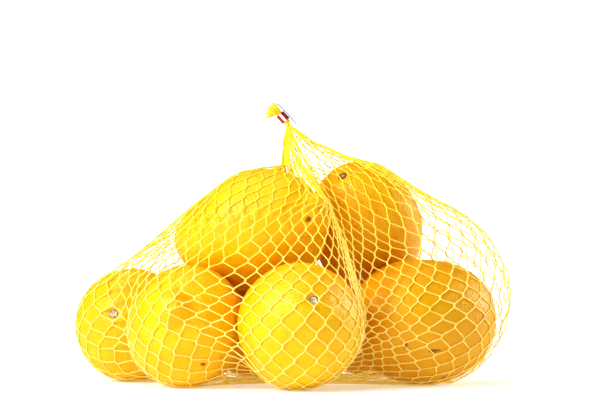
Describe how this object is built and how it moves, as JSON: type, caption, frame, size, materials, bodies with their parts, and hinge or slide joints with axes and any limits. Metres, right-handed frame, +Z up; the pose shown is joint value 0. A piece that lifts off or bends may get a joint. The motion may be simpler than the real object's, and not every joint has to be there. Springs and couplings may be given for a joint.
{
  "type": "net of lemons",
  "caption": "Pile of whole lemons in a yellow knitted tube net, gathered upwards to a short neck that a small striped band and a thin metal strip hold shut.",
  "frame": {"origin": "centre of the footprint's box, on the surface that the net lies on", "axes": "+Z up to the neck, -Y the front side, +X to the right, along the pile's length"},
  "size_m": [0.234, 0.1916, 0.1509],
  "materials": {
    "net_yarn": "pale yellow knitted plastic yarn, slightly glossy",
    "clip_band": "red and white striped paper-like strip, satin",
    "clip_metal": "thin bright metal strip, lightly brushed"
  },
  "bodies": {
    "root": {"filled_net": "net_yarn", "clip_band": "clip_band", "clip_bar": "clip_metal"}
  },
  "joints": []
}
